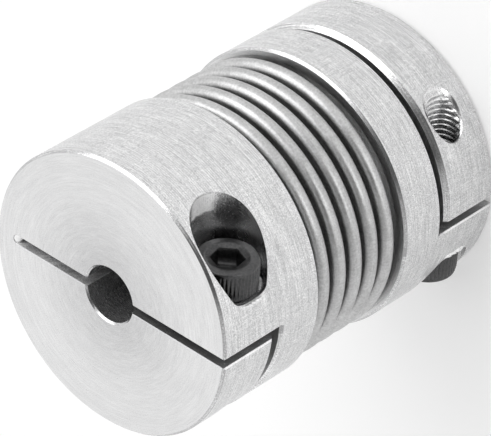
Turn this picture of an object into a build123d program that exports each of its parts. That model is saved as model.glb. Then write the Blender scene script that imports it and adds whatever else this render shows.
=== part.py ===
from build123d import *
import os
from math import sqrt

# Flexible bellows coupling with two half-clamp hubs, all sizes in mm.
# It stands on end: +Z runs along the shaft axis and the origin is on that axis,
# at the outer face of the lower hub. +X is the side where the clamp slits open.
# The upper hub is the lower hub turned end for end about the X direction.

# Overall
coupling_length = 53.0
hub_diameter = 40.0
hub_length = 18.0
bore_diameter = 8.0
rim_chamfer = 0.35
bore_chamfer = 0.25

# Clamp: a slit across the face and a slot behind it free the jaw
slit_width = 1.3
slit_face_chamfer = 0.06
slit_side_chamfer = 0.2
hinge_web = 3.0
jaw_length = 9.6
jaw_slot_width = 1.15
jaw_edge_chamfer = 0.65
body_edge_chamfer = 0.4

# Clamp screw, a socket head cap screw M5 x 14
screw_diameter = 5.0
screw_length = 14.0
screw_end_chamfer = 0.5
head_diameter = 8.4
head_height = 4.5
head_edge_radius = 0.35
head_underside_chamfer = 0.45
socket_across_flats = 4.0
socket_depth = 2.5
socket_turn = 40.0
socket_mouth_chamfer = 0.1

# Where the screw sits in the hub
screw_edge_distance = 5.6
screw_height = 5.7
seat_height = 6.6
pocket_diameter = 10.3
pocket_corner_radius = 0.85
clearance_hole_diameter = 5.5
thread_clearance = 0.02
thread_mouth_chamfer = 0.4

# Bellows, formed from thin sheet, with a neck bonded over a spigot at each end
crest_diameter = 38.8
root_diameter = 29.4
usual_pitch = 3.2
root_bend_radius = 0.485
end_gap = 0.575
wall = 0.2
bond_gap = 0.05

# Bellows seat in the hub
recess_diameter = 36.5
recess_depth = 1.5
recess_edge = 0.2
spigot_stand_out = 1.0
spigot_chamfer = 0.3

os.makedirs("parts", exist_ok=True)

# Sizes that follow from those above
hub_radius = hub_diameter / 2
bore_radius = bore_diameter / 2
recess_radius = recess_diameter / 2
crest_radius = crest_diameter / 2
root_radius = root_diameter / 2
neck_inner_radius = root_radius - wall
spigot_radius = neck_inner_radius - bond_gap
recess_floor = hub_length - recess_depth
spigot_end = hub_length + spigot_stand_out
half_slit = slit_width / 2
half_face_mouth = half_slit + slit_face_chamfer
half_side_mouth = half_slit + slit_side_chamfer
slit_end = hub_radius - hinge_web
slit_round_centre = half_slit - slit_end
slot_back = jaw_length + jaw_slot_width
screw_offset = hub_radius - screw_edge_distance
cut_margin = 1.0
cut_reach = hub_radius + cut_margin
mid_length = coupling_length / 2
turning_axis = Axis((0, 0, mid_length), (1, 0, 0))

# Screw seat of the lower hub: X stays X, and the plane's normal points out of the pocket
screw_seat = Plane(origin=(screw_offset, -seat_height, screw_height), x_dir=(1, 0, 0), z_dir=(0, -1, 0))
# Where the screw axis leaves the jaw
jaw_exit = sqrt(hub_radius**2 - screw_offset**2)


# Shape of the slit: round at its closed end, its edges chamfered on the face and on the hub's side
with BuildPart() as slit:
    with BuildSketch(Plane.XY):
        with BuildLine():
            Polyline(
                (slit_round_centre, -half_slit),
                (hub_radius - slit_side_chamfer, -half_slit),
                (hub_radius, -half_side_mouth),
                (cut_reach, -half_side_mouth),
                (cut_reach, half_side_mouth),
                (hub_radius, half_side_mouth),
                (hub_radius - slit_side_chamfer, half_slit),
                (slit_round_centre, half_slit),
            )
            ThreePointArc((slit_round_centre, half_slit), (-slit_end, 0), (slit_round_centre, -half_slit))
        make_face()
    extrude(amount=slot_back)
    with BuildSketch(Plane.YZ.offset(slit_round_centre)):
        with BuildLine():
            Polyline(
                (-half_face_mouth, 0),
                (half_face_mouth, 0),
                (half_slit, slit_face_chamfer),
                (-half_slit, slit_face_chamfer),
                close=True,
            )
        make_face()
    extrude(amount=cut_reach - slit_round_centre)
    with Locations((slit_round_centre, 0)):
        Cone(half_face_mouth, half_slit, slit_face_chamfer, align=(Align.CENTER, Align.CENTER, Align.MIN))

# Shape of the slot behind the jaw: square to the axis, its mouth opened out at both edges,
# as deep as the far wall of the slit
with BuildPart() as jaw_slot:
    with BuildSketch(Plane.XZ):
        with BuildLine():
            Polyline(
                (0, jaw_length),
                (hub_radius - jaw_edge_chamfer, jaw_length),
                (hub_radius, jaw_length - jaw_edge_chamfer),
                (cut_reach, jaw_length - jaw_edge_chamfer),
                (cut_reach, slot_back + body_edge_chamfer),
                (hub_radius, slot_back + body_edge_chamfer),
                (hub_radius - body_edge_chamfer, slot_back),
                (0, slot_back),
                close=True,
            )
        make_face()
    revolve(axis=Axis.Z)
    split(bisect_by=Plane.XZ.offset(half_slit), keep=Keep.BOTTOM)

# Shape of the head pocket: round, with a rounded corner at its floor
with BuildPart() as head_pocket:
    with BuildSketch(screw_seat):
        Circle(pocket_diameter / 2)
    extrude(amount=cut_reach)
    floor_edge = edges().filter_by(GeomType.CIRCLE).sort_by(Axis.Y)[-1]
    fillet(floor_edge, radius=pocket_corner_radius)

# Lower hub: turned from round bar, then slit, slotted and drilled
with BuildPart() as lower_hub:
    with BuildSketch(Plane.XZ):
        with BuildLine():
            Polyline(
                (bore_radius + bore_chamfer, 0),
                (hub_radius - rim_chamfer, 0),
                (hub_radius, rim_chamfer),
                (hub_radius, hub_length - rim_chamfer),
                (hub_radius - rim_chamfer, hub_length),
                (recess_radius + recess_edge, hub_length),
                (recess_radius, hub_length - recess_edge),
                (recess_radius, recess_floor),
                (spigot_radius, recess_floor),
                (spigot_radius, spigot_end - spigot_chamfer),
                (spigot_radius - spigot_chamfer, spigot_end),
                (bore_radius + bore_chamfer, spigot_end),
                (bore_radius, spigot_end - bore_chamfer),
                (bore_radius, bore_chamfer),
                close=True,
            )
        make_face()
    revolve(axis=Axis.Z)

    # Slot behind the jaw, and slit across the bore up to the web that the jaw bends about
    add(jaw_slot.part, mode=Mode.SUBTRACT)
    add(slit.part, mode=Mode.SUBTRACT)

    # Head pocket and clearance hole in the fixed half, threaded hole in the jaw
    add(head_pocket.part, mode=Mode.SUBTRACT)
    with BuildSketch(screw_seat):
        Circle(clearance_hole_diameter / 2)
    extrude(amount=-seat_height, mode=Mode.SUBTRACT)
    with BuildSketch(screw_seat.offset(-seat_height)):
        Circle(screw_diameter / 2 + thread_clearance)
    extrude(amount=-cut_reach, mode=Mode.SUBTRACT)
    outer_edges = edges().filter_by_position(Axis.Y, jaw_exit - screw_diameter, hub_radius)
    thread_mouth = outer_edges.filter_by_position(Axis.X, screw_offset - screw_diameter, screw_offset)
    chamfer(thread_mouth, length=thread_mouth_chamfer)
lower_hub.part.label = "lower_hub"

# Upper hub: the same piece turned end for end
with BuildPart() as upper_hub:
    add(lower_hub.part.rotate(turning_axis, 180))
upper_hub.part.label = "upper_hub"


# Bellows: one wall of constant thickness, neck, crests and neck, spun about the axis
folded_length = coupling_length - 2 * (hub_length + end_gap)
crest_count = round(folded_length / usual_pitch)
pitch = folded_length / crest_count
crest_bend_radius = pitch / 2 - root_bend_radius
crest_centre_radius = crest_radius - crest_bend_radius
root_centre_radius = root_radius + root_bend_radius
lower_neck_top = hub_length + end_gap
upper_neck_bottom = coupling_length - lower_neck_top
first_crest = lower_neck_top + pitch / 2


def draw_wall_side(crest_bend, root_bend):
    """Draw one side of the bellows wall, from the lower neck's end to the upper neck's end."""
    neck_radius = root_centre_radius - root_bend
    Line((neck_radius, recess_floor), (neck_radius, lower_neck_top))
    for crest in range(crest_count):
        height = first_crest + pitch * crest
        CenterArc((root_centre_radius, height - pitch / 2), root_bend, 180, -90)
        Line((root_centre_radius, height - crest_bend), (crest_centre_radius, height - crest_bend))
        CenterArc((crest_centre_radius, height), crest_bend, 270, 180)
        Line((crest_centre_radius, height + crest_bend), (root_centre_radius, height + crest_bend))
        CenterArc((root_centre_radius, height + pitch / 2), root_bend, 270, -90)
    Line((neck_radius, upper_neck_bottom), (neck_radius, coupling_length - recess_floor))


with BuildPart() as bellows:
    with BuildSketch(Plane.XZ):
        with BuildLine():
            draw_wall_side(crest_bend_radius, root_bend_radius)
            draw_wall_side(crest_bend_radius - wall, root_bend_radius + wall)
            for neck_end in (recess_floor, coupling_length - recess_floor):
                Line((neck_inner_radius, neck_end), (root_radius, neck_end))
        make_face()
    revolve(axis=Axis.Z)
bellows.part.label = "bellows"


# Lower clamp screw: socket head cap screw, head in the pocket, end inside the jaw
with BuildPart() as lower_clamp_screw:
    with BuildSketch(screw_seat):
        Circle(head_diameter / 2)
    extrude(amount=head_height)
    top_face = faces().sort_by(Axis.Y)[0]
    fillet(top_face.edges(), radius=head_edge_radius)
    underside = faces().sort_by(Axis.Y)[-1]
    chamfer(underside.edges(), length=head_underside_chamfer)
    with BuildSketch(screw_seat.offset(head_height)):
        RegularPolygon(socket_across_flats / 2, 6, major_radius=False, rotation=socket_turn)
    extrude(amount=-socket_depth, mode=Mode.SUBTRACT)
    top_face = faces().sort_by(Axis.Y)[0]
    chamfer(top_face.inner_wires().edges(), length=socket_mouth_chamfer)
    with BuildSketch(screw_seat):
        Circle(screw_diameter / 2)
    extrude(amount=-screw_length)
    end_face = faces().sort_by(Axis.Y)[-1]
    chamfer(end_face.edges(), length=screw_end_chamfer)
lower_clamp_screw.part.label = "lower_clamp_screw"

# Upper clamp screw: turned end for end with its hub
with BuildPart() as upper_clamp_screw:
    add(lower_clamp_screw.part.rotate(turning_axis, 180))
upper_clamp_screw.part.label = "upper_clamp_screw"


for piece in (lower_hub, upper_hub, bellows, lower_clamp_screw, upper_clamp_screw):
    export_step(piece.part, f"parts/{piece.part.label}.step")
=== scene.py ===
import bpy
import math
from types import SimpleNamespace
from mathutils import Matrix, Vector, noise


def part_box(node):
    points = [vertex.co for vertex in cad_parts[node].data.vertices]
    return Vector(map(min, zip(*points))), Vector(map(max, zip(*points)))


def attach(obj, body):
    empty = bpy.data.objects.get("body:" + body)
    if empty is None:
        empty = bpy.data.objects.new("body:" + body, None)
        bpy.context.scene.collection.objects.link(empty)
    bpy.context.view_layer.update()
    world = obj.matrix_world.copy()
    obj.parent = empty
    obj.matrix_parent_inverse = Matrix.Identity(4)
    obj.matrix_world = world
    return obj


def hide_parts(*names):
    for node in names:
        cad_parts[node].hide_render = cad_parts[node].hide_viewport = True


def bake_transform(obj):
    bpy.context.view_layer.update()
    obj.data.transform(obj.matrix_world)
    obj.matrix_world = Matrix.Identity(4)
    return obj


# Bellows coupling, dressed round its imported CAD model. Lengths below are in millimetres and
# are multiplied by MM where Blender needs metres.
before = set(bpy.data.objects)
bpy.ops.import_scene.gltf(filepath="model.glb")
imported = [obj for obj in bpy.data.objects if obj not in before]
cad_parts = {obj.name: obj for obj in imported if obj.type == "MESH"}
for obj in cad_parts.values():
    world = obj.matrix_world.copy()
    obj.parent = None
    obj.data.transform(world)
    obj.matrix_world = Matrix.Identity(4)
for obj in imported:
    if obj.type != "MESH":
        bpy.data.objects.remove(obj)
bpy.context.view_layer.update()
MM = 0.001

# Hubs, as in the CAD model
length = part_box("upper_hub")[1].z / MM
hub_radius = 20.0
hub_length = 18.0
jaw_length = 9.6
recess_floor = 16.5
slit_half_width = 0.65
slit_side_chamfer = 0.2
slit_end = 17.0

# Bellows, as in the CAD model
crest_count = 5
crest_radius = 19.4
root_radius = 14.7
root_bend = 0.485
end_gap = 0.575
wall = 0.2
first_root = hub_length + end_gap
pitch = (length - 2 * first_root) / crest_count

# Clamp screw, as in the CAD model
screw_x = 14.4
screw_z = 5.7
seat_y = -6.6
head_radius = 4.2
head_height = 4.5
head_edge_radius = 0.35
head_underside_chamfer = 0.45
socket_half_flats = 2.0
socket_depth = 2.5
socket_turn = math.radians(40.0)
shank_length = 14.0

# Details of the screw and its thread that the CAD model leaves out
countersink_radius = 2.85
countersink_depth = 0.24
knurl_depth = 0.15
thread_pitch = 0.8
thread_major_radius = 2.5
thread_minor_radius = 2.05
tapped_wall_radius = 2.52
tapped_crest_radius = 2.1

# Torn metal at the pocket's mouth, larger on the upper hub
burr_size = {"lower": 0.45, "upper": 1.0}


# Mesh helpers

def mesh_object(name, vertices, faces):
    """A smooth mesh object from points in millimetres."""
    mesh = bpy.data.meshes.new(name)
    mesh.from_pydata([Vector(v) * MM for v in vertices], [], faces)
    mesh.validate()
    mesh.polygons.foreach_set("use_smooth", [True] * len(mesh.polygons))
    piece = bpy.data.objects.new(name, mesh)
    bpy.context.scene.collection.objects.link(piece)
    return piece


def spun_grid(rows, columns, point):
    """Points and faces of a closed ring of columns by a run of rows; point(row, column) places each."""
    vertices = [point(row, column) for row in range(rows) for column in range(columns)]
    faces = []
    for row in range(rows - 1):
        here, above = row * columns, (row + 1) * columns
        for column in range(columns):
            beside = (column + 1) % columns
            faces.append((here + column, here + beside, above + beside, above + column))
    return vertices, faces


def strip_faces(steps, width):
    """Faces of a strip of points, laid down in steps of a width."""
    return [
        (start, start + 1, start + 1 + width, start + width)
        for step in range(steps)
        for start in range(step * width, step * width + width - 1)
    ]


def joined(shells):
    """One list of points and faces from several."""
    vertices, faces = [], []
    for points, polygons in shells:
        start = len(vertices)
        vertices += points
        faces += [tuple(start + index for index in polygon) for polygon in polygons]
    return vertices, faces


def placed(matrix, shell):
    """The shell's points moved by a matrix."""
    return [matrix @ Vector(v) for v in shell[0]], shell[1]


def arc(centre, radius, start, end, steps):
    """Points of an arc in a half plane (radius from the axis, height), angles in degrees."""
    angles = [math.radians(start + (end - start) * step / steps) for step in range(steps + 1)]
    return [(centre[0] + radius * math.cos(a), centre[1] + radius * math.sin(a)) for a in angles]


def limited(value):
    """The value kept between 0 and 1."""
    return min(1.0, max(0.0, value))


# Screw axis frame: local z points out of the head pocket, local x is the row's X
lower_screw_frame = Matrix(((1, 0, 0, screw_x), (0, 0, -1, seat_y), (0, 1, 0, screw_z), (0, 0, 0, 1)))
# The upper end is the lower end turned half a turn about X at mid-length
turned_over = Matrix(((1, 0, 0, 0), (0, -1, 0, 0), (0, 0, -1, length), (0, 0, 0, 1)))
upper_screw_frame = turned_over @ lower_screw_frame
ends = (("lower", Matrix.Identity(4), lower_screw_frame), ("upper", turned_over, upper_screw_frame))


# Bellows: two halves that meet on the middle crest

def wall_side(neck_radius, crest_bend, bend):
    """One side of the bellows wall, from the lower neck to the middle of the middle crest."""
    crest_centre = crest_radius - pitch / 2 + root_bend
    root_centre = root_radius + root_bend
    crest_steps, root_steps = 24, 14
    # The neck is straight up to just short of the first bend
    line = [(neck_radius, recess_floor), (neck_radius, first_root - 0.3)]
    line += arc((root_centre, first_root), bend, 180, 90, root_steps)
    for crest in range(crest_count // 2):
        height = first_root + pitch * (crest + 0.5)
        line += arc((crest_centre, height), crest_bend, 270, 450, crest_steps)
        line += arc((root_centre, height + pitch / 2), bend, 270, 90, root_steps * 2)
    line += arc((crest_centre, length / 2), crest_bend, 270, 360, crest_steps)
    return line


def bellows_half():
    """Lower half of the bellows, with both sides of its wall."""
    crest_bend = pitch / 2 - root_bend
    outer = wall_side(root_radius, crest_bend, root_bend)
    inner = wall_side(root_radius - wall, crest_bend - wall, root_bend + wall)
    outline = inner[::-1] + outer
    columns = 240

    def point(row, column):
        radius, height = outline[row]
        angle = 2 * math.pi * column / columns
        return radius * math.cos(angle), radius * math.sin(angle), height

    return spun_grid(len(outline), columns, point)


# Clamp screws

def screw_head():
    """Knurled head with a hexagon socket, seat at z = 0."""
    # Height of one ridge of the knurl, step by step across it
    ridge = (0.0, 0.2, 0.7, 0.95, 1.0, 0.95, 0.7, 0.2)
    ridge_count = 48
    columns = ridge_count * len(ridge)
    under = head_underside_chamfer
    # The knurl ends below a plain band that is a little narrower
    band_height, band_step = 0.45, 0.1
    band_radius = head_radius - band_step
    knurl_top = head_height - head_edge_radius - band_height
    # Outside of the head: radius, height, share of the knurl
    outer = [
        (thread_major_radius, 0.0, 0),
        (head_radius - under, 0.0, 0),
        (head_radius - 0.5 * under, 0.5 * under, 0),
        (head_radius, under + 0.05, 1),
        (head_radius, knurl_top * 0.5, 1),
        (head_radius, knurl_top, 1),
        (band_radius - 0.02, knurl_top + 0.22, 0),
        (band_radius, knurl_top + 0.36, 0),
    ]
    top_edge = (band_radius - head_edge_radius, head_height - head_edge_radius)
    outer += [(radius, height, 0) for radius, height in arc(top_edge, head_edge_radius, 0, 90, 8)]
    # The flat top runs in to a shallow countersink round the socket
    outer += [
        (countersink_radius + 0.35, head_height, 0),
        (countersink_radius + 0.03, head_height, 0),
        (countersink_radius, head_height - 0.02, 0),
    ]
    # Socket: share of the hexagon's radius, height
    floor = head_height - socket_depth
    mouth = head_height - countersink_depth
    hexagon = [
        (1.04, mouth + 0.05),
        (1.0, mouth - 0.02),
        (1.0, floor + socket_depth * 0.5),
        (1.0, floor),
        (0.85, floor - 0.08),
        (0.45, floor - 0.3),
        (0.0, floor - 0.55),
    ]

    def point(row, column):
        turn = 2 * math.pi * column / columns
        if row < len(outer):
            radius, height, share = outer[row]
            radius -= share * knurl_depth * (1 - ridge[column % len(ridge)])
        else:
            share, height = hexagon[row - len(outer)]
            from_flat = turn % (math.pi / 3) - math.pi / 6
            radius = share * socket_half_flats / math.cos(from_flat)
        angle = socket_turn + turn
        return radius * math.cos(angle), radius * math.sin(angle), height

    return spun_grid(len(outer) + len(hexagon), columns, point)


def thread_height(z, angle):
    """0 at the root and 1 at the crest of a 60 degree thread."""
    phase = (z / thread_pitch + angle / (2 * math.pi)) % 1.0
    return limited(1.2 - abs(phase - 0.5) * 3.4)


def screw_shank():
    """Threaded shank below the seat, with a chamfered end."""
    columns, steps_in_pitch = 48, 10
    rows = int(shank_length / thread_pitch * steps_in_pitch)
    last_turned_row = rows - 3
    thread_depth = thread_major_radius - thread_minor_radius
    end_chamfer, end_inset = 0.6, 0.3

    def point(row, column):
        angle = 2 * math.pi * column / columns
        z = -shank_length * min(row, last_turned_row) / last_turned_row
        from_end = z + shank_length
        radius = thread_minor_radius + thread_depth * thread_height(z, angle)
        if from_end < end_chamfer:
            radius = min(radius, thread_major_radius - end_chamfer + from_end)
        # The last two rows close the end
        if row == rows - 2:
            radius = thread_minor_radius - end_inset
        if row == rows - 1:
            radius = 0.0
        return radius * math.cos(angle), radius * math.sin(angle), z

    return spun_grid(rows, columns, point)


def tapped_thread():
    """Thread inside the jaw's tapped hole, past the screw's end, fading out at the hub's side."""
    columns, steps_in_pitch = 64, 12
    past_screw = 0.3
    # The whole mouth of the hole lies further inside the hub's radius than this
    mouth_inset = 3.0
    near_end = -shank_length - past_screw
    far_end = seat_y + mouth_inset - hub_radius
    rows = int((near_end - far_end) / thread_pitch * steps_in_pitch)
    buried = 0.04
    thread_depth = tapped_wall_radius - tapped_crest_radius + buried
    mouth_depth, fade_depth = 0.35, 0.7

    def point(row, column):
        angle = 2 * math.pi * column / columns
        z = near_end + (far_end - near_end) * row / (rows - 1)
        x = screw_x + tapped_wall_radius * math.cos(angle)
        # Where the hub's side cuts this line of the hole, as a height below the seat
        surface = seat_y - math.sqrt(max(0.0, hub_radius ** 2 - x ** 2))
        fade = limited((z - surface - mouth_depth) / fade_depth)
        ridge = thread_depth * (1 - thread_height(z + thread_pitch / 2, angle)) * fade
        radius = tapped_wall_radius + buried - ridge
        return radius * math.cos(angle), radius * math.sin(angle), max(z, surface + mouth_depth)

    return spun_grid(rows, columns, point)


# Torn metal

def pocket_burr(size):
    """A ragged lip along the straight edge of the pocket floor, rolled over on to the hub's side."""
    half_length = 2.0
    steps = 140
    # Rise above the hub's side and distance from the edge, of a section through the lip
    section = (
        (-0.04, 0.02), (0.28, -0.08), (0.52, -0.02), (0.6, 0.14),
        (0.45, 0.32), (0.15, 0.46), (-0.04, 0.54),
    )
    points = []
    for step in range(steps + 1):
        share = step / steps
        z = screw_z + half_length * (2 * share - 1)
        fade = min(1.0, math.sin(math.pi * share) * 1.8)
        ragged = 0.9 + 0.6 * noise.noise(Vector((z * 1.7, 4.0, 0.0)))
        ragged += 0.5 * noise.noise(Vector((z * 5.5, 1.0, 7.0)))
        for rise, over in section:
            if rise > 0:
                crumpled = 1.0 + 0.6 * noise.noise(Vector((z * 4.0, over * 9.0, 3.0)))
                rise *= size * fade * max(0.15, ragged) * crumpled
            radius = hub_radius + rise
            y = seat_y + 0.02 + over * (0.55 + 0.45 * fade * max(0.3, ragged))
            drift = 0.06 * noise.noise(Vector((z * 5.0, over * 7.0, 8.0)))
            points.append((math.sqrt(radius ** 2 - y ** 2), y, z + drift))
    return points, strip_faces(steps, len(section))


def slit_chip():
    """Crumpled plug, flush with the hub's face at the slit's closed end, where the saw stopped."""
    buried = 0.04
    steps = 24
    # Distance from the slit's end and depth below the face
    section = (
        (-0.05, 0.07), (0.2, 0.09), (0.45, 0.13), (0.7, 0.24),
        (0.95, 0.45), (1.1, 0.8), (0.8, 1.3), (-0.05, 1.6),
    )
    points = []
    for step in range(steps + 1):
        share = 2 * step / steps - 1
        y = share * (slit_half_width + buried)
        for over, depth in section:
            crumple = noise.noise(Vector((y * 3.0, over * 3.0, 2.0)))
            along = over * (1.0 + 0.5 * crumple - 0.35 * share * abs(share))
            points.append((along - slit_end, y, depth * (1.0 + 0.6 * crumple)))
    return points, strip_faces(steps, len(section))


# Materials

class Nodes:
    """Short calls for building a node material."""

    def __init__(self, name):
        self.material = bpy.data.materials.new(name)
        self.material.use_nodes = True
        self.tree = self.material.node_tree
        self.links = self.tree.links
        self.shader = self.tree.nodes["Principled BSDF"]

    def add(self, kind, **settings):
        node = self.tree.nodes.new(kind)
        for key, value in settings.items():
            setattr(node, key, value)
        return node

    def give(self, socket, value):
        """Set a socket to a number, or link a node's output to it."""
        if isinstance(value, (int, float)):
            socket.default_value = value
        else:
            self.links.new(value, socket)

    def feed(self, name, value):
        """Link a node's output to one of the shader's sockets."""
        self.links.new(value, self.shader.inputs[name])

    def math(self, operation, *values):
        node = self.add("ShaderNodeMath", operation=operation)
        for socket, value in zip(node.inputs, values):
            self.give(socket, value)
        return node.outputs[0]

    def plus(self, first, *others):
        for other in others:
            first = self.math("ADD", first, other)
        return first

    def minus(self, first, second):
        return self.math("SUBTRACT", first, second)

    def times(self, first, *others):
        for other in others:
            first = self.math("MULTIPLY", first, other)
        return first

    def noise(self, vector, scale, detail, roughness):
        """Noise over a vector, or over a vector and a fourth value."""
        place, fourth = vector if isinstance(vector, tuple) else (vector, None)
        node = self.add("ShaderNodeTexNoise", noise_dimensions="4D" if fourth else "3D")
        node.inputs["Scale"].default_value = scale
        node.inputs["Detail"].default_value = detail
        node.inputs["Roughness"].default_value = roughness
        self.links.new(place, node.inputs["Vector"])
        if fourth:
            self.links.new(fourth, node.inputs["W"])
        return node.outputs["Fac"]

    def spread(self, value, low, high, to_low, to_high):
        """Map the value's range from low to high on to another range, and keep it there."""
        node = self.add("ShaderNodeMapRange", clamp=True)
        self.links.new(value, node.inputs["Value"])
        node.inputs["From Min"].default_value = low
        node.inputs["From Max"].default_value = high
        node.inputs["To Min"].default_value = to_low
        node.inputs["To Max"].default_value = to_high
        return node.outputs[0]

    def vector(self, x, y, z):
        node = self.add("ShaderNodeCombineXYZ")
        for socket, value in zip(node.inputs, (x, y, z)):
            self.give(socket, value)
        return node.outputs[0]

    def blend(self, share, first, second):
        node = self.add("ShaderNodeMix", data_type="RGBA")
        colours = [socket for socket in node.inputs if socket.type == "RGBA"]
        self.links.new(share, node.inputs[0])
        colours[0].default_value = (*first, 1)
        colours[1].default_value = (*second, 1)
        return [socket for socket in node.outputs if socket.type == "RGBA"][0]

    def relief(self, height, depth):
        """Bump the surface by a height map, its depth in millimetres."""
        node = self.add("ShaderNodeBump")
        node.inputs["Distance"].default_value = depth * MM
        node.inputs["Strength"].default_value = 1.0
        self.links.new(height, node.inputs["Height"])
        self.feed("Normal", node.outputs[0])

    def brush_round(self, strength):
        """Stretch the reflections across lines that run round the shaft axis."""
        self.shader.inputs["Anisotropic"].default_value = strength
        self.feed("Tangent", self.add("ShaderNodeTangent", direction_type="RADIAL", axis="Z").outputs[0])

    def place(self):
        """Millimetre coordinates, and the same about the shaft axis."""
        scaled = self.add("ShaderNodeVectorMath", operation="SCALE")
        self.links.new(self.add("ShaderNodeTexCoord").outputs["Object"], scaled.inputs[0])
        scaled.inputs["Scale"].default_value = 1 / MM
        split = self.add("ShaderNodeSeparateXYZ")
        self.links.new(scaled.outputs[0], split.inputs[0])
        x, y, z = split.outputs
        radius = self.math("SQRT", self.plus(self.times(x, x), self.times(y, y)))
        safe = self.math("MAXIMUM", radius, 0.001)
        return SimpleNamespace(
            point=scaled.outputs[0],
            x=x,
            y=y,
            z=z,
            radius=radius,
            cosine=self.math("DIVIDE", x, safe),
            sine=self.math("DIVIDE", y, safe),
        )

    def round_lines(self, at, across, round_axis):
        """Noise coordinates: quick change with radius and height, slow change round the axis."""
        radius, height = self.times(at.radius, across), self.times(at.z, across)
        cosine, sine = self.times(at.cosine, round_axis), self.times(at.sine, round_axis)
        return self.vector(radius, height, cosine), sine

    def axial_lines(self, at, across, along):
        """Noise coordinates: quick change round the axis, slow change along it."""
        cosine, sine = self.times(at.cosine, across), self.times(at.sine, across)
        return self.vector(cosine, sine, self.times(at.z, along))


def hub_regions(nodes, at):
    """Where each kind of surface lies on a hub, as shares from 0 to 1."""
    facing = nodes.add("ShaderNodeSeparateXYZ")
    nodes.links.new(nodes.add("ShaderNodeTexCoord").outputs["Normal"], facing.inputs[0])
    along = nodes.math("ABSOLUTE", facing.outputs["Z"])
    from_end = nodes.math("MINIMUM", at.z, nodes.minus(length, at.z))
    beside_slit = nodes.math("ABSOLUTE", at.y)
    part = SimpleNamespace()

    # Faces square to the axis, and slanted ones such as chamfers
    part.end_face = nodes.spread(along, 0.9, 0.99, 0.0, 1.0)
    part.chamfer = nodes.times(
        nodes.spread(along, 0.3, 0.5, 0.0, 1.0),
        nodes.spread(along, 0.85, 0.97, 1.0, 0.0),
    )
    part.rim = nodes.times(part.chamfer, nodes.math(
        "MAXIMUM",
        nodes.spread(from_end, 0.6, 1.0, 1.0, 0.0),
        nodes.spread(from_end, hub_length - 1.2, hub_length - 0.8, 0.0, 1.0),
    ))

    # Walls that lie well inside the outer surface, and the sawn walls of the slit among them
    near_slit = nodes.spread(beside_slit, slit_half_width + 0.08, slit_half_width + 0.12, 1.0, 0.0)
    part.inside = nodes.times(
        nodes.spread(at.radius, hub_radius - 0.25, hub_radius - 0.1, 1.0, 0.0),
        nodes.spread(along, 0.9, 0.99, 1.0, 0.0),
        nodes.minus(1.0, part.chamfer),
    )
    part.sawn = nodes.times(near_slit, part.inside)
    # Pocket, tapped hole and jaw slot: outside the bore, and nearer the hub's end than the recess
    part.pocket = nodes.times(
        part.inside,
        nodes.spread(at.radius, 5.0, 6.0, 0.0, 1.0),
        nodes.minus(1.0, near_slit),
        nodes.spread(from_end, 12.0, 13.0, 1.0, 0.0),
    )
    # Wall of the recess round the bellows, coarsely turned
    part.recess = nodes.times(
        part.inside,
        nodes.spread(at.radius, 17.0, 17.5, 0.0, 1.0),
        nodes.spread(from_end, recess_floor - 1.0, recess_floor - 0.1, 0.0, 1.0),
    )
    # Painted light: the pocket's wall is painted bright below its mouth, on the side towards the shaft
    # axis, where light falls into the pocket
    worn_radius = nodes.plus(at.radius, nodes.times(nodes.noise(at.point, 0.6, 3.0, 0.6), 1.6))
    part.worn = nodes.times(
        part.pocket,
        nodes.spread(worn_radius, 18.1, 18.5, 0.0, 1.0),
        nodes.spread(facing.outputs["X"], 0.65, 0.8, 0.0, 1.0),
    )
    # The saw ran out towards the slit's closed end, where its walls are palest
    part.run_out = nodes.times(
        part.sawn,
        nodes.spread(at.x, -15.5, -7.0, 1.0, 0.3),
        nodes.spread(at.x, -3.5, -2.5, 1.0, 0.0),
    )
    # Painted shade: the slit's sawn walls are darkened in its open half
    part.open_half = nodes.times(part.sawn, nodes.spread(at.x, 2.0, 4.0, 0.0, 1.0))

    # Broken edges of the slit, on the hub's side and on its face; the side edge carries a painted
    # highlight, the face edge painted shade
    side_mouth = hub_radius - slit_side_chamfer
    half_mouth = slit_half_width + slit_side_chamfer
    part.side_edge = nodes.times(
        nodes.spread(at.radius, side_mouth - 0.03, side_mouth, 0.0, 1.0),
        nodes.spread(at.x, 0.0, 1.0, 0.0, 1.0),
        nodes.spread(from_end, jaw_length, jaw_length + 0.4, 1.0, 0.0),
        nodes.spread(beside_slit, half_mouth, half_mouth + 0.04, 1.0, 0.0),
    )
    # Painted shade on the slit's edge on the hub's face
    part.face_edge = nodes.times(near_slit, part.chamfer)
    return part


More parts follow.
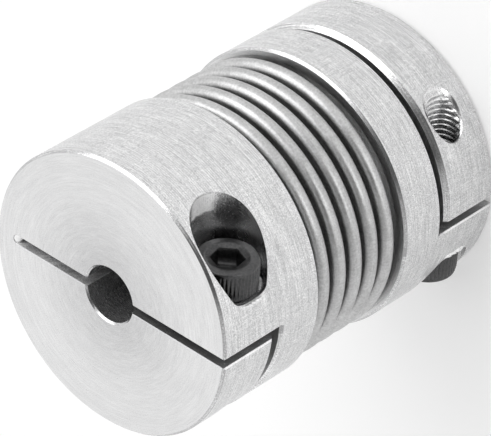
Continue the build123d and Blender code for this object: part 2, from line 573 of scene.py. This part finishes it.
def turned_aluminium():
    """Aluminium turned from bar, sawn and drilled."""
    nodes = Nodes("hub_aluminium")
    at = nodes.place()
    part = hub_regions(nodes, at)
    side = nodes.minus(1.0, part.end_face)
    plain = nodes.minus(1.0, part.chamfer)

    # Turning marks run round the axis
    fine = nodes.noise(nodes.round_lines(at, 5.5, 5.0), 1.0, 2.0, 0.6)
    broad = nodes.noise(nodes.round_lines(at, 1.1, 4.0), 1.0, 3.0, 0.55)
    mottle = nodes.noise(at.point, 1.5, 5.0, 0.7)
    grain = nodes.noise(at.point, 8.0, 2.0, 0.6)
    # The tool's feed leaves an even thread of fine lines; their contrast is painted stronger on the +Y
    # side, as a painted glint where they catch the light
    feed_pitch = 0.33
    feed_turn = nodes.plus(nodes.times(at.z, 2 * math.pi / feed_pitch), nodes.times(broad, 3.0))
    feed = nodes.times(nodes.math("SINE", feed_turn), side, nodes.spread(at.sine, 0.5, 0.9, 0.02, 0.11))
    # Handling scratches along the axis, in patches
    scratches = nodes.times(
        nodes.minus(nodes.noise(nodes.axial_lines(at, 110.0, 0.3), 1.0, 3.0, 0.65), 0.5),
        nodes.spread(nodes.noise(at.point, 0.11, 2.0, 0.5), 0.42, 0.6, 0.15, 1.0),
    )
    # Diagonal lines that the saw left on the slit's walls
    diagonal = nodes.plus(nodes.times(at.x, 1.1), nodes.times(at.z, 0.9))
    saw_lines = nodes.noise(nodes.vector(diagonal, at.y, nodes.times(at.z, 0.15)), 1.0, 4.0, 0.7)

    marks = nodes.plus(
        nodes.spread(fine, 0.2, 0.8, -0.4, 0.4),
        feed,
        nodes.spread(mottle, 0.2, 0.8, -0.16, 0.16),
        nodes.spread(broad, 0.2, 0.8, -0.14, 0.14),
        nodes.spread(grain, 0.2, 0.8, -0.8, 0.8),
        nodes.times(scratches, side),
    )
    tone = nodes.plus(
        nodes.times(marks, nodes.plus(nodes.times(side, 0.6), 0.4)),
        0.37,
        nodes.times(part.sawn, nodes.spread(saw_lines, 0.35, 0.65, -0.5, 0.4)),
        nodes.times(part.recess, nodes.spread(fine, 0.35, 0.65, -0.3, 0.6)),
        nodes.times(part.end_face, nodes.spread(at.radius, 5.0, 14.0, -0.12, 0.12)),
        # Painted highlight on the slit's edge on the hub's side
        nodes.times(part.side_edge, 0.6),
        # Painted shade on the slit's edge on the hub's face
        nodes.times(part.face_edge, -0.4),
        # Painted shade on the sawn walls in the slit's open half
        nodes.times(part.open_half, -0.5),
        # Painted light on the pocket's wall
        nodes.times(part.worn, 0.5),
        nodes.times(part.rim, -0.25),
    )
    nodes.feed("Base Color", nodes.blend(tone, (0.46, 0.46, 0.465), (1.0, 1.0, 1.0)))

    plain_roughness = nodes.plus(
        nodes.spread(fine, 0.3, 0.7, 0.27, 0.37),
        nodes.spread(mottle, 0.3, 0.7, -0.03, 0.05),
        nodes.times(part.inside, -0.09),
        nodes.times(part.sawn, 0.2),
        nodes.times(part.pocket, -0.12),
        nodes.times(part.side_edge, -0.15),
    )
    chamfer_roughness = nodes.plus(
        nodes.spread(fine, 0.3, 0.7, 0.16, 0.28),
        nodes.times(part.face_edge, 0.3),
    )
    nodes.feed("Roughness", nodes.plus(
        nodes.times(plain_roughness, plain),
        nodes.times(chamfer_roughness, part.chamfer),
    ))
    # Rough cut metal inside scatters more light than the turned outside
    nodes.feed("Metallic", nodes.plus(
        1.0,
        nodes.times(part.inside, -0.08),
        nodes.times(part.run_out, -0.6),
        nodes.times(part.side_edge, -0.1),
        # The pocket's painted light is also made less metallic, so that it shows pale
        nodes.times(part.worn, -0.7),
        nodes.times(part.recess, -0.7),
    ))
    height = nodes.plus(
        nodes.times(fine, 0.7),
        nodes.times(scratches, 0.5),
        nodes.times(grain, 0.6),
        nodes.times(mottle, 0.4),
    )
    nodes.relief(nodes.times(height, nodes.plus(nodes.times(plain, 0.75), 0.25)), 0.03)
    nodes.brush_round(0.4)
    return nodes.material


def burr_aluminium():
    """Bright torn metal."""
    nodes = Nodes("burr_aluminium")
    grain = nodes.noise(nodes.place().point, 6.0, 3.0, 0.6)
    share = nodes.spread(grain, 0.3, 0.7, 0.0, 1.0)
    nodes.feed("Base Color", nodes.blend(share, (0.9, 0.9, 0.9), (1.0, 1.0, 1.0)))
    nodes.shader.inputs["Metallic"].default_value = 0.7
    nodes.shader.inputs["Roughness"].default_value = 0.3
    nodes.relief(grain, 0.03)
    return nodes.material


def formed_stainless():
    """Thin stainless sheet, formed and lightly brushed."""
    nodes = Nodes("bellows_stainless")
    at = nodes.place()
    streaks = nodes.noise(nodes.round_lines(at, 3.5, 5.0), 1.0, 4.0, 0.6)
    cross = nodes.noise(nodes.axial_lines(at, 60.0, 0.6), 1.0, 3.0, 0.6)
    grain = nodes.noise(at.point, 3.2, 3.0, 0.65)
    patches = nodes.noise(at.point, 0.5, 3.0, 0.55)
    tone = nodes.plus(
        nodes.spread(streaks, 0.3, 0.7, -0.25, 0.25),
        nodes.spread(grain, 0.3, 0.7, -0.4, 0.4),
        nodes.spread(patches, 0.3, 0.7, -0.2, 0.2),
        nodes.spread(cross, 0.3, 0.7, 0.4, 0.6),
    )
    nodes.feed("Base Color", nodes.blend(tone, (0.40, 0.40, 0.40), (0.62, 0.62, 0.62)))
    nodes.feed("Roughness", nodes.spread(streaks, 0.3, 0.7, 0.34, 0.46))
    nodes.shader.inputs["Metallic"].default_value = 1.0
    nodes.relief(nodes.plus(streaks, nodes.times(grain, 0.8), nodes.times(cross, 0.2)), 0.02)
    nodes.brush_round(0.25)
    return nodes.material


def black_oxide_steel():
    """Dark steel of the screws."""
    nodes = Nodes("screw_black_steel")
    grain = nodes.noise(nodes.place().point, 3.0, 5.0, 0.7)
    share = nodes.spread(grain, 0.3, 0.7, 0.0, 1.0)
    nodes.feed("Base Color", nodes.blend(share, (0.055, 0.055, 0.057), (0.12, 0.12, 0.12)))
    nodes.feed("Roughness", nodes.spread(grain, 0.3, 0.7, 0.28, 0.42))
    nodes.shader.inputs["Metallic"].default_value = 1.0
    nodes.relief(grain, 0.02)
    return nodes.material


# Pieces

def make_piece(name, matrix, shell, material):
    """A dressed piece from a shell, moved by a matrix."""
    piece = mesh_object(name, *placed(matrix, shell))
    piece.data.materials.append(material)
    return piece


aluminium = turned_aluminium()
bright_aluminium = burr_aluminium()
stainless = formed_stainless()
black_steel = black_oxide_steel()

for end, turn, screw_frame in ends:
    body = f"{end}_end"
    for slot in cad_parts[f"{end}_hub"].material_slots:
        slot.material = aluminium

    half = make_piece(f"bellows_{end}_half", turn, bellows_half(), stainless)
    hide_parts("bellows")
    if end == "lower":
        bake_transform(half)
    else:
        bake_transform(half)

    screw_shell = joined((screw_head(), screw_shank()))
    screw = make_piece(f"{end}_cap_screw", screw_frame, screw_shell, black_steel)
    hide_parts(f"{end}_clamp_screw")
    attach(screw, body)

    thread = make_piece(f"{end}_jaw_thread", screw_frame, tapped_thread(), aluminium)
    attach(thread, body)

    burr_shell = pocket_burr(burr_size[end])
    burr = make_piece(f"{end}_pocket_burr", turn, burr_shell, bright_aluminium)
    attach(burr, body)

    chip = make_piece(f"{end}_slit_chip", turn, slit_chip(), bright_aluminium)
    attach(chip, body)


# Floor, light and camera

def make_floor():
    """A pale floor that shows white to the camera and in reflections, but for the object's shadow."""
    size = 3.0
    mesh = bpy.data.meshes.new("floor")
    corners = [(-size, -size, 0), (size, -size, 0), (size, size, 0), (-size, size, 0)]
    mesh.from_pydata(corners, [], [(0, 1, 2, 3)])
    floor = bpy.data.objects.new("floor", mesh)
    bpy.context.scene.collection.objects.link(floor)
    nodes = Nodes("floor_white")
    nodes.shader.inputs["Base Color"].default_value = (0.78, 0.78, 0.78, 1)
    nodes.shader.inputs["Roughness"].default_value = 0.9
    path = nodes.add("ShaderNodeLightPath").outputs
    seen = nodes.math("MAXIMUM", path["Is Camera Ray"], path["Is Glossy Ray"])
    seen = nodes.math("MAXIMUM", seen, path["Is Transmission Ray"])
    nodes.shader.inputs["Emission Color"].default_value = (1, 1, 1, 1)
    nodes.feed("Emission Strength", nodes.times(seen, 0.24))
    floor.data.materials.append(nodes.material)


def direction(azimuth, elevation):
    """Unit vector at an azimuth from +X and an elevation, in degrees."""
    a, e = math.radians(azimuth), math.radians(elevation)
    return Vector((math.cos(a) * math.cos(e), math.sin(a) * math.cos(e), math.sin(e)))


def area_light(name, towards, distance, width, height, power):
    """A soft box that faces the middle of the object; distance and sides in metres."""
    light = bpy.data.lights.new(name, "AREA")
    light.shape = "RECTANGLE"
    light.size = width
    light.size_y = height
    light.energy = power
    holder = bpy.data.objects.new(name, light)
    holder.location = Vector((0, 0, length / 2 * MM)) + towards * distance
    holder.rotation_mode = "QUATERNION"
    holder.rotation_quaternion = towards.to_track_quat("Z", "Y")
    bpy.context.scene.collection.objects.link(holder)


def make_world():
    """A pale studio, darker round one direction."""
    world = bpy.data.worlds.new("studio")
    world.use_nodes = True
    bpy.context.scene.world = world
    tree = world.node_tree
    dark_side = direction(27.0, 50.0)
    # Cosine of the angle from the dark side, and brightness there
    stops = ((0.1, 1.07), (0.4, 0.88), (0.75, 0.79), (0.9, 0.56), (0.97, 0.13))
    place = tree.nodes.new("ShaderNodeTexCoord")
    dot = tree.nodes.new("ShaderNodeVectorMath")
    dot.operation = "DOT_PRODUCT"
    dot.inputs[1].default_value = dark_side
    ramp = tree.nodes.new("ShaderNodeValToRGB")
    elements = ramp.color_ramp.elements
    while len(elements) < len(stops):
        elements.new(0.5)
    for element, (position, level) in zip(elements, stops):
        element.position = position
        element.color = (level, level, level, 1)
    background = tree.nodes["Background"]
    background.inputs["Strength"].default_value = 1.0
    tree.links.new(place.outputs["Generated"], dot.inputs[0])
    tree.links.new(dot.outputs["Value"], ramp.inputs[0])
    tree.links.new(ramp.outputs[0], background.inputs["Color"])


def make_camera():
    """The camera of the photograph."""
    roll = math.radians(-120.55)
    distance = 543.8
    target = Vector((0.85, 0.38, 27.92))
    back = direction(48.25, 39.04)
    level = Vector((0, 0, 1)).cross(back).normalized()
    upright = back.cross(level)
    right = level * math.cos(roll) + upright * math.sin(roll)
    up = back.cross(right)
    camera = bpy.data.objects.new("camera", bpy.data.cameras.new("camera"))
    camera.data.lens = 304.2
    camera.data.sensor_width = 36.0
    camera.data.clip_start = 0.05
    camera.data.clip_end = 20.0
    rotation = Matrix((right, up, back)).transposed().to_4x4()
    camera.matrix_world = Matrix.Translation((target + back * distance) * MM) @ rotation
    bpy.context.scene.collection.objects.link(camera)
    bpy.context.scene.camera = camera


make_floor()
make_world()
area_light("key_softbox", direction(121.0, 38.0), distance=0.9, width=0.86, height=0.7, power=3.6)
area_light("low_softbox", direction(30.0, 6.0), distance=0.6, width=0.3, height=0.3, power=0.5)
make_camera()
bpy.context.scene.view_settings.view_transform = "Standard"
